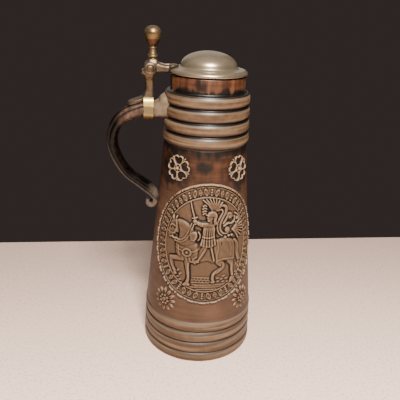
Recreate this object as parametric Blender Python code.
"""Lidded stoneware beer stein: turned body, strap handle, applied reliefs and a hinged pewter lid.

Metres, +Z up. The origin is the centre of the flat base, the turning axis is Z, the handle points
along -X and the main relief faces -Y. Lengths below are written in millimetres times MM.
"""
import math

import bmesh
import bpy
import numpy as np
from mathutils import Matrix, Vector

MM = 0.001
GAP = 0.3 * MM                      # free space between pieces that rest on each other

# ---- driving dimensions -------------------------------------------------------------------
BODY_SEGMENTS = 40
CONE_BOTTOM = (52.1 * MM, 44.3 * MM)        # radius, height where the plain cone starts
CONE_TOP = (37.1 * MM, 206.3 * MM)          # radius, height where it ends
LOW_RING_RADIUS = 54.2 * MM
LOW_RING_TAPER = 0.42 * MM
LOW_RING_LEVELS = [level * MM for level in (0.0, 9.5, 21.1, 32.7, 44.3)]
LOW_GROOVE = 1.6 * MM
TOP_RING_RADIUS = 38.6 * MM
TOP_RING_TAPER = 0.4 * MM
TOP_RING_PITCH = 11.16 * MM
TOP_RINGS = 4
TOP_GROOVE = 2.2 * MM
NECK_RADIUS = 32.5 * MM
RIM_HEIGHT = 264.6 * MM
WALL = 6.5 * MM
NECK_WALL = 5.5 * MM
FLOOR = 8.0 * MM

HINGE_X = -49.8 * MM
HINGE_Z = 268.3 * MM
KNUCKLE_RADIUS = 5.3 * MM
KNUCKLE_WIDTH = 4.0 * MM
KNUCKLE_GAP = 0.25 * MM
KNUCKLE_PITCH = KNUCKLE_WIDTH + KNUCKLE_GAP
SLOT_RADIUS = 5.7 * MM
PIN_RADIUS = 1.9 * MM
BORE_RADIUS = 2.0 * MM
PIN_HEAD_RADIUS = 2.9 * MM

LID_RADIUS = 33.7 * MM
LID_BASE = 265.0 * MM
DOME_RADIUS = 24.0 * MM
DOME_BASE = 271.3 * MM
DOME_TOP = 283.3 * MM
LID_SEGMENTS = 32

SEAL_HEIGHT = 122.0 * MM
SEAL_HALF_WIDTH = 52.0 * MM
SEAL_HALF_HEIGHT = 57.5 * MM
SEAL_AZIMUTHS = (0.0, 180.0)                # degrees from -Y towards +X
ROSE_HEIGHT = 189.0 * MM
ROSE_RADIUS = 11.2 * MM
ROSE_AZIMUTH = 42.0
DAISY_HEIGHT = 62.0 * MM
DAISY_RADIUS = 11.6 * MM
DAISY_AZIMUTH = 45.0
BACK_STEP = 6.5 * MM                        # widest ring on a relief's curved back

BAND_LEFT, BAND_RIGHT = -55.6 * MM, -46.9 * MM
BAND_BOTTOM, BAND_TOP = 225.6 * MM, 240.9 * MM
BAND_HALF_WIDTH = 10.1 * MM
BAND_THICKNESS = 1.2 * MM
BAND_CORNER = 1.3 * MM

# Handle centre line seen from the side: x, z, thickness and half width along the strap.
HANDLE_STATIONS = [tuple(value * MM for value in row) for row in (
    (-33.0, 234.8, 19.0, 12.0),
    (-39.5, 234.6, 16.4, 10.8),
    (-43.6, 233.9, 13.8, 9.2),
    (-46.8, 233.2, 12.0, 8.5),
    (-51.3, 233.2, 12.0, 8.5),
    (-56.8, 234.0, 10.6, 8.5),
    (-71.3, 228.4, 9.3, 8.5),
    (-80.9, 218.4, 8.7, 8.5),
    (-83.7, 205.2, 8.0, 8.5),
    (-80.2, 191.3, 7.4, 8.5),
    (-71.3, 176.4, 6.8, 8.4),
    (-60.2, 167.1, 7.2, 8.3),
    (-49.6, 158.6, 7.6, 8.2),
    (-44.6, 151.8, 4.6, 7.6),
    (-44.9, 145.9, 3.8, 7.0),
    (-48.2, 143.6, 4.2, 6.4),
    (-51.6, 145.6, 4.4, 5.8),
    (-51.8, 149.2, 3.2, 5.2),
)]
HANDLE_STEPS = 2                            # rings between two stations

MATERIALS = {
    "stoneware_glaze": ((0.235, 0.115, 0.055), 0.30, 0.0),
    "handle_glaze": ((0.120, 0.060, 0.040), 0.30, 0.0),
    "relief_clay": ((0.330, 0.215, 0.130), 0.40, 0.0),
    "pewter": ((0.420, 0.400, 0.360), 0.38, 1.0),
    "hinge_metal": ((0.430, 0.330, 0.220), 0.36, 1.0),
    "bright_brass": ((0.640, 0.520, 0.290), 0.28, 1.0),
}


# ---- scene helpers ------------------------------------------------------------------------
def clear_scene():
    """Remove every object of the start scene."""
    for existing in list(bpy.data.objects):
        bpy.data.objects.remove(existing, do_unlink=True)


def make_materials():
    """One Principled material for each finish."""
    for name, (colour, roughness, metallic) in MATERIALS.items():
        material = bpy.data.materials.new(name)
        material.use_nodes = True
        shader = material.node_tree.nodes["Principled BSDF"]
        shader.inputs["Base Color"].default_value = (*colour, 1.0)
        shader.inputs["Roughness"].default_value = roughness
        shader.inputs["Metallic"].default_value = metallic


def add_object(name, mesh, finish=None):
    """Link a mesh as an object and give it its finish."""
    piece = bpy.data.objects.new(name, mesh)
    bpy.context.scene.collection.objects.link(piece)
    if finish:
        mesh.materials.append(bpy.data.materials[finish])
    return piece


def smooth(mesh, angle=35.0):
    """Shade a round piece smooth and keep its hard edges."""
    mesh.shade_smooth()
    mesh.set_sharp_from_angle(angle=math.radians(angle))


def mesh_from_bmesh(name, shape):
    """Turn a bmesh into a mesh with its faces pointing outwards."""
    bmesh.ops.recalc_face_normals(shape, faces=shape.faces)
    mesh = bpy.data.meshes.new(name)
    shape.to_mesh(mesh)
    shape.free()
    return mesh


def turned(name, profile, segments, finish=None):
    """Piece turned about its own Z axis; the profile runs down its outer side from the top."""
    mesh = bpy.data.meshes.new(name)
    points = [(radius, 0.0, height) for radius, height in profile]
    edges = [(index, index + 1) for index in range(len(points) - 1)]
    mesh.from_pydata(points, edges, [])
    piece = add_object(name, mesh, finish)
    screw = piece.modifiers.new("turn", "SCREW")
    screw.axis = "Z"
    screw.angle = math.radians(360.0)
    screw.steps = segments
    screw.render_steps = segments
    screw.use_merge_vertices = True
    screw.merge_threshold = 0.00001
    screw.use_smooth_shade = True
    return piece


def lofted(name, rings, finish=None, closed=False):
    """Skin over a row of rings with equal counts; capped at both ends unless it closes on itself."""
    shape = bmesh.new()
    loops = [[shape.verts.new(point) for point in ring] for ring in rings]
    pairs = list(zip(loops[:-1], loops[1:]))
    if closed:
        pairs.append((loops[-1], loops[0]))
    count = len(loops[0])
    for first, second in pairs:
        for index in range(count):
            after = (index + 1) % count
            shape.faces.new((first[index], first[after], second[after], second[index]))
    if not closed:
        shape.faces.new(loops[0])
        shape.faces.new(loops[-1])
    mesh = mesh_from_bmesh(name, shape)
    smooth(mesh)
    return add_object(name, mesh, finish)


def cylinder_along_y(name, centre, radius, half_length, segments=24):
    """Plain cylinder whose axis is parallel to Y."""
    shape = bmesh.new()
    turn = Matrix.Translation(Vector(centre)) @ Matrix.Rotation(math.radians(90.0), 4, "X")
    bmesh.ops.create_cone(shape, cap_ends=True, segments=segments, radius1=radius, radius2=radius,
                          depth=2.0 * half_length, matrix=turn)
    mesh = mesh_from_bmesh(name, shape)
    smooth(mesh)
    return add_object(name, mesh)


def combine(piece, helper, operation):
    """Exact Boolean of a piece with a helper body that stays out of the build."""
    helper.hide_render = True
    helper.display_type = "WIRE"
    boolean = piece.modifiers.new(helper.name, "BOOLEAN")
    boolean.operation = operation
    boolean.object = helper
    boolean.solver = "EXACT"


# ---- curves and profiles ------------------------------------------------------------------
def spline(stations, steps):
    """Catmull-Rom curve through rows of numbers, with equal steps between two rows."""
    rows = np.array(stations)
    rows = np.vstack([2 * rows[0] - rows[1], rows, 2 * rows[-1] - rows[-2]])
    out = []
    for index in range(1, len(rows) - 2):
        before, start, end, after = rows[index - 1:index + 3]
        for share in np.arange(steps) / steps:
            square, cube = share ** 2, share ** 3
            out.append(0.5 * (2 * start + (end - before) * share
                              + (2 * before - 5 * start + 4 * end - after) * square
                              + (3 * start - before - 3 * end + after) * cube))
    out.append(rows[-2])
    return np.array(out)


def ring_profile(low, high, crest, groove, roundness):
    """Outer side of one turned ring, from its upper groove down to its lower groove."""
    shares = (0.96, 0.78, 0.50, 0.22, 0.04)
    return [(crest - groove * abs(2.0 * share - 1.0) ** roundness, low + (high - low) * share)
            for share in shares]


def body_outside(offset=0.0):
    """Outer side of the body from the neck down to the base, moved out by the offset."""
    points = []
    top_end = CONE_TOP[1] + TOP_RINGS * TOP_RING_PITCH
    points.append((NECK_RADIUS, top_end + 0.6 * MM))
    for index in reversed(range(TOP_RINGS)):
        low = CONE_TOP[1] + index * TOP_RING_PITCH
        crest = TOP_RING_RADIUS - index * TOP_RING_TAPER
        points += ring_profile(low, low + TOP_RING_PITCH, crest, TOP_GROOVE, 2.6)
    points.append(CONE_TOP)
    points.append(CONE_BOTTOM)
    for index in reversed(range(len(LOW_RING_LEVELS) - 1)):
        crest = LOW_RING_RADIUS - index * LOW_RING_TAPER
        points += ring_profile(LOW_RING_LEVELS[index], LOW_RING_LEVELS[index + 1], crest, LOW_GROOVE, 5.0)
    return [(radius + offset, height) for radius, height in points]


def body_profile():
    """Closed wall of the body: up the inside, over the rim and down the outside."""
    inside_low = CONE_BOTTOM[0] - WALL
    inside_high = CONE_TOP[0] - WALL
    ledge = CONE_TOP[1] + TOP_RINGS * TOP_RING_PITCH
    bore = NECK_RADIUS - NECK_WALL
    inside = [
        (0.0, FLOOR),
        (inside_low - 7.0 * MM, FLOOR),
        (inside_low - 2.0 * MM, FLOOR + 2.0 * MM),
        (inside_low, FLOOR + 7.0 * MM),
        (inside_low, CONE_BOTTOM[1]),
        (inside_high, CONE_TOP[1]),
        (inside_high - 0.4 * MM, ledge - 5.0 * MM),
        (bore, ledge + 2.0 * MM),
        (bore, RIM_HEIGHT - 1.5 * MM),
        (bore + 1.2 * MM, RIM_HEIGHT),
        (NECK_RADIUS - 1.2 * MM, RIM_HEIGHT),
        (NECK_RADIUS, RIM_HEIGHT - 1.5 * MM),
    ]
    base = [(LOW_RING_RADIUS - 2.6 * MM, 0.0), (0.0, 0.0)]
    return inside + body_outside() + base


def lid_profile():
    """Lid wall: dome and flange from the crown down the outside, then back along the underside."""
    wall = 1.6 * MM
    rise = DOME_TOP - DOME_BASE
    angles = [math.radians(90.0 - 13.0 * step) for step in range(1, 7)]
    outside = [(0.0, DOME_TOP)]
    outside += [(DOME_RADIUS * math.cos(angle), DOME_BASE + rise * math.sin(angle)) for angle in angles]
    outside += [
        (DOME_RADIUS, DOME_BASE),
        (DOME_RADIUS + 0.9 * MM, DOME_BASE - 1.2 * MM),
        (DOME_RADIUS + 2.6 * MM, DOME_BASE - 2.2 * MM),
        (LID_RADIUS - 0.9 * MM, LID_BASE + 3.4 * MM),
        (LID_RADIUS, LID_BASE + 2.6 * MM),
        (LID_RADIUS, LID_BASE + 0.6 * MM),
        (LID_RADIUS - 0.6 * MM, LID_BASE),
    ]
    inner_radius = DOME_RADIUS - wall
    inner_rise = rise - wall
    inner_base = DOME_BASE - 0.3 * MM
    inside = [(inner_radius + 0.8 * MM, LID_BASE)]
    inside += [(inner_radius * math.cos(angle), inner_base + inner_rise * math.sin(angle))
               for angle in [0.0] + angles[::-1]]
    inside.append((0.0, inner_base + inner_rise))
    return outside + inside


def thumblift_profile():
    """Turned acorn knob on a neck that widens down to a collar: radius and height above its foot."""
    rows = ((0.0, 26.0), (2.6, 25.6), (4.9, 24.3), (6.4, 22.5), (7.0, 20.5), (6.8, 18.3), (6.1, 15.6),
            (5.2, 13.0), (4.2, 11.2), (2.7, 9.7), (3.2, 8.8), (3.0, 8.2), (2.7, 7.5), (2.9, 6.0),
            (3.3, 4.4), (3.5, 3.3), (4.4, 2.3), (4.4, 1.2), (3.6, 0.0), (0.0, 0.0))
    return [(radius * MM, height * MM) for radius, height in rows]


# ---- stoneware ----------------------------------------------------------------------------
def cone_radius(height):
    """Radius of the plain cone at a height."""
    share = (height - CONE_BOTTOM[1]) / (CONE_TOP[1] - CONE_BOTTOM[1])
    return CONE_BOTTOM[0] + (CONE_TOP[0] - CONE_BOTTOM[0]) * share


def make_body():
    """Thrown body with a tapering wall, ring groups at foot and shoulder, and a short neck."""
    turned("stein_body", body_profile(), BODY_SEGMENTS, "stoneware_glaze")


def strap_section(half_thick, half_wide):
    """Strap cross section: two edge beads on the outer face with a shallow channel between them."""
    return [(half_thick * out, half_wide * side) for out, side in (
        (0.78, 0.0), (0.80, 0.55), (1.0, 0.78), (0.86, 0.98), (0.45, 1.0), (-0.45, 0.98), (-0.92, 0.80),
        (-1.0, 0.0), (-0.92, -0.80), (-0.45, -0.98), (0.45, -1.0), (0.86, -0.98), (1.0, -0.78),
        (0.80, -0.55))]


def make_handle():
    """Strap handle swept along its centre line and scribed to the body, ending in a scroll."""
    path = spline(HANDLE_STATIONS, HANDLE_STEPS)
    along = np.gradient(path[:, :2], axis=0)
    along /= np.linalg.norm(along, axis=1)[:, None]
    rings = []
    for (x, z, thick, half_wide), (step_x, step_z) in zip(path.tolist(), along.tolist()):
        outward = Vector((step_z, 0.0, -step_x))
        rings.append([Vector((x, 0.0, z)) + out * outward + Vector((0.0, side, 0.0))
                      for out, side in strap_section(0.5 * thick, half_wide)])
    handle = lofted("handle", rings, "handle_glaze")
    outline = [(0.0, RIM_HEIGHT)] + body_outside(GAP) + [(0.0, 0.0)]
    outline.insert(1, (NECK_RADIUS + GAP, RIM_HEIGHT))
    cutter = turned("body_clearance", outline, BODY_SEGMENTS)
    combine(handle, cutter, "DIFFERENCE")


def wrapped(azimuth, height, across, up, lift):
    """Point on the cone: across and up are measured from the centre of a relief."""
    level = height + up
    angle = math.radians(azimuth) + across / cone_radius(height)
    radius = cone_radius(level) + lift
    return Vector((radius * math.sin(angle), -radius * math.cos(angle), level))


def relief(name, azimuth, height, half_size, levels, petals, count):
    """Applied relief: rings from the middle of its back, over its edge, to the middle of its face."""
    turns = max(3, round(half_size[0] / BACK_STEP))
    backing = [(0.03 + 0.93 * step / turns, GAP) for step in range(turns + 1)]
    rings = []
    for share, lift in backing + levels:
        ring = []
        for index in range(count):
            angle = 2.0 * math.pi * index / count
            lobe = 1.0 + petals[1] * math.cos(petals[0] * angle) * share
            ring.append(wrapped(azimuth, height, half_size[0] * share * lobe * math.sin(angle),
                                half_size[1] * share * lobe * math.cos(angle), lift + 0.05 * MM))
        rings.append(ring)
    lofted(name, rings, "relief_clay")


def make_seals():
    """Large oval seal with a bead rim, a framed border and a raised field, front and back."""
    levels = [(share, lift * MM) for share, lift in (
        (1.0, 0.9), (0.99, 2.4), (0.955, 2.6), (0.935, 1.4), (0.80, 1.4), (0.785, 2.2), (0.76, 2.2),
        (0.745, 1.3), (0.50, 1.9), (0.25, 2.3), (0.03, 2.4))]
    for name, azimuth in zip(("medallion_front", "medallion_back"), SEAL_AZIMUTHS):
        relief(name, azimuth, SEAL_HEIGHT, (SEAL_HALF_WIDTH, SEAL_HALF_HEIGHT), levels, (1, 0.0), 36)


def make_flowers():
    """Four roses above and four daisies below, spread evenly about each seal."""
    rose_levels = [(share, lift * MM) for share, lift in (
        (1.0, 0.7), (0.93, 1.8), (0.60, 1.3), (0.34, 2.0), (0.04, 2.6))]
    daisy_levels = [(share, lift * MM) for share, lift in (
        (1.0, 0.6), (0.92, 1.4), (0.55, 1.2), (0.34, 1.9), (0.04, 2.3))]
    places = [(seal + side, tag) for seal, end in zip(SEAL_AZIMUTHS, ("front", "back"))
              for side, tag in ((-1.0, end + "_left"), (1.0, end + "_right"))]
    for place, tag in places:
        seal = round(place / 180.0) * 180.0
        side = place - seal
        relief("rose_" + tag, seal + side * ROSE_AZIMUTH, ROSE_HEIGHT, (ROSE_RADIUS, ROSE_RADIUS),
               rose_levels, (5, 0.05), 15)
        relief("daisy_" + tag, seal + side * DAISY_AZIMUTH, DAISY_HEIGHT, (DAISY_RADIUS, DAISY_RADIUS),
               daisy_levels, (8, 0.04), 16)


# ---- metal fittings on the handle -----------------------------------------------------------
def rounded_box(centre, half_a, half_b, corner):
    """Closed ring of a rectangle with clipped corners, as pairs about a centre."""
    a, b = half_a, half_b
    outline = ((a - corner, b), (a, b - corner), (a, corner - b), (a - corner, -b),
               (corner - a, -b), (-a, corner - b), (-a, b - corner), (corner - a, b))
    return [(centre[0] + first, centre[1] + second) for first, second in outline]


def make_clamp_band():
    """Flat metal band bent round the top of the handle."""
    middle = (0.0, 0.5 * (BAND_BOTTOM + BAND_TOP))
    half_height = 0.5 * (BAND_TOP - BAND_BOTTOM)
    rings = []
    for x, inset in ((BAND_LEFT, 0.0), (BAND_RIGHT, 0.0), (BAND_RIGHT, BAND_THICKNESS),
                     (BAND_LEFT, BAND_THICKNESS)):
        ring = rounded_box(middle, BAND_HALF_WIDTH - inset, half_height - inset, BAND_CORNER)
        rings.append([(x, y, z) for y, z in ring])
    lofted("clamp_band", rings, "bright_brass", closed=True)


def knuckle_cutter(name, index, radius, side_gap):
    """Round cutter that clears one knuckle of the other half of the hinge."""
    centre = (HINGE_X, (index - 2) * KNUCKLE_PITCH, HINGE_Z)
    return cylinder_along_y(name, centre, radius, 0.5 * KNUCKLE_WIDTH + side_gap)


def make_hinge_bracket():
    """Upright post on the band with three hinge knuckles and a leaf that lies along the handle."""
    post_rows = ((241.2, -57.4, -46.6, 7.4), (242.3, -57.2, -46.6, 7.4), (243.3, -55.4, -46.7, 7.2),
                 (245.3, -53.8, -46.8, 6.8), (249.0, -53.0, -46.9, 6.4), (253.2, -52.4, -46.9, 6.2),
                 (257.8, -51.8, -46.7, 6.8), (260.4, -52.7, -46.4, 8.6), (262.4, -53.9, -46.1, 10.4),
                 (265.4, -54.3, -45.7, 10.4))
    rings = []
    for z, left, right, half_wide in post_rows:
        ring = rounded_box((0.5 * (left + right), 0.0), 0.5 * (right - left), half_wide, 0.9)
        rings.append([(x * MM, y * MM, z * MM) for x, y in ring])
    bracket = lofted("hinge_bracket", rings, "hinge_metal")
    half_hinge = 2.0 * KNUCKLE_PITCH + 0.5 * KNUCKLE_WIDTH
    barrel = cylinder_along_y("bracket_barrel", (HINGE_X, 0.0, HINGE_Z), KNUCKLE_RADIUS, half_hinge)
    combine(bracket, barrel, "UNION")
    leaf_rows = ((-55.0, 241.3, 242.8, 6.8), (-56.0, 241.2, 242.7, 6.9), (-58.4, 240.1, 242.3, 7.0),
                 (-62.0, 239.5, 241.8, 7.0), (-65.5, 238.8, 240.9, 6.2), (-68.0, 238.2, 240.1, 4.2),
                 (-69.3, 238.1, 239.4, 1.6))
    rings = []
    for x, low, high, half_wide in leaf_rows:
        ring = rounded_box((0.0, 0.5 * (low + high)), half_wide, 0.5 * (high - low), 0.5)
        rings.append([(x * MM, y * MM, z * MM) for y, z in ring])
    combine(bracket, lofted("bracket_leaf", rings), "UNION")
    for side in (-1.0, 1.0):
        spur = lofted("bracket_spur_{}".format("front" if side < 0 else "back"), [
            [(x * MM, side * y * MM, z * MM) for x, z in ((-53.0, 269.6), (-57.0, 265.2), (-53.2, 262.9))]
            for y in (6.7, 10.2)])
        combine(bracket, spur, "UNION")
    for index in (1, 3):
        combine(bracket, knuckle_cutter("bracket_slot_{}".format(index), index, SLOT_RADIUS, KNUCKLE_GAP),
                "DIFFERENCE")
    bore = cylinder_along_y("bracket_bore", (HINGE_X, 0.0, HINGE_Z), BORE_RADIUS, 14.0 * MM)
    combine(bracket, bore, "DIFFERENCE")


def make_hinge_pin():
    """Round pin with a peened head at each end."""
    reach = 2.0 * KNUCKLE_PITCH + 0.5 * KNUCKLE_WIDTH + 0.15 * MM
    profile = [(0.0, reach + 1.0 * MM), (1.5 * MM, reach + 0.8 * MM), (PIN_HEAD_RADIUS, reach + 0.25 * MM),
               (PIN_HEAD_RADIUS, reach), (PIN_RADIUS, reach)]
    profile += [(radius, -height) for radius, height in reversed(profile)]
    pin = turned("hinge_pin", profile, 24, "hinge_metal")
    pin.location = (HINGE_X, 0.0, HINGE_Z)
    pin.rotation_euler = (math.radians(90.0), 0.0, 0.0)


# ---- lid group ------------------------------------------------------------------------------
def make_lid():
    """Pewter lid: flat flange over the rim and a hollow dome."""
    return turned("lid", lid_profile(), LID_SEGMENTS, "pewter")


def make_lid_arm():
    """Arm from two hinge knuckles over the flange, with the seat of the thumblift on top."""
    eye_rows = ((263.3, -51.0, -48.6, 6.25), (264.6, -53.2, -46.3, 6.25), (268.3, -55.1, -43.6, 6.25),
                (272.2, -53.4, -42.6, 6.25), (273.8, -51.8, -43.4, 6.0), (275.6, -51.4, -44.0, 4.6))
    rings = []
    for z, left, right, half_wide in eye_rows:
        ring = rounded_box((0.5 * (left + right), 0.0), 0.5 * (right - left), half_wide, 0.4)
        rings.append([(x * MM, y * MM, z * MM) for x, y in ring])
    arm = lofted("lid_arm", rings, "hinge_metal")
    bar_rows = ((-46.5, 264.5, 273.0, 6.0), (-43.6, 264.4, 272.8, 6.0), (-41.0, 264.4, 271.8, 5.8),
                (-37.0, 264.4, 271.3, 5.4), (-34.3, 264.6, 271.3, 5.2), (-34.2, 268.9, 271.4, 5.2),
                (-31.0, 269.1, 271.8, 5.0), (-28.6, 269.4, 271.4, 3.0), (-27.0, 269.7, 270.6, 0.9))
    rings = []
    for x, low, high, half_wide in bar_rows:
        ring = rounded_box((0.0, 0.5 * (low + high)), half_wide, 0.5 * (high - low), 0.4)
        rings.append([(x * MM, y * MM, z * MM) for y, z in ring])
    combine(arm, lofted("arm_bar", rings), "UNION")
    combine(arm, knuckle_cutter("arm_slot", 2, SLOT_RADIUS, KNUCKLE_GAP), "DIFFERENCE")
    bore = cylinder_along_y("arm_bore", (HINGE_X, 0.0, HINGE_Z), BORE_RADIUS, 14.0 * MM)
    combine(arm, bore, "DIFFERENCE")
    return arm


def make_thumblift():
    """Turned knob that the thumb presses to raise the lid."""
    thumblift = turned("thumblift", thumblift_profile(), 20, "bright_brass")
    thumblift.location = (-47.6 * MM, 0.0, 275.9 * MM)
    return thumblift


def hang_on_hinge(pieces):
    """Parent the moving pieces to an empty on the hinge axis without moving them."""
    axis = bpy.data.objects.new("lid_hinge_axis", None)
    axis.location = (HINGE_X, 0.0, HINGE_Z)
    bpy.context.scene.collection.objects.link(axis)
    for piece in pieces:
        piece.parent = axis
        piece.matrix_parent_inverse = Matrix.Translation(-axis.location)


def main():
    clear_scene()
    make_materials()
    make_body()
    make_handle()
    make_seals()
    make_flowers()
    make_clamp_band()
    make_hinge_bracket()
    make_hinge_pin()
    hang_on_hinge([make_lid(), make_lid_arm(), make_thumblift()])


main()
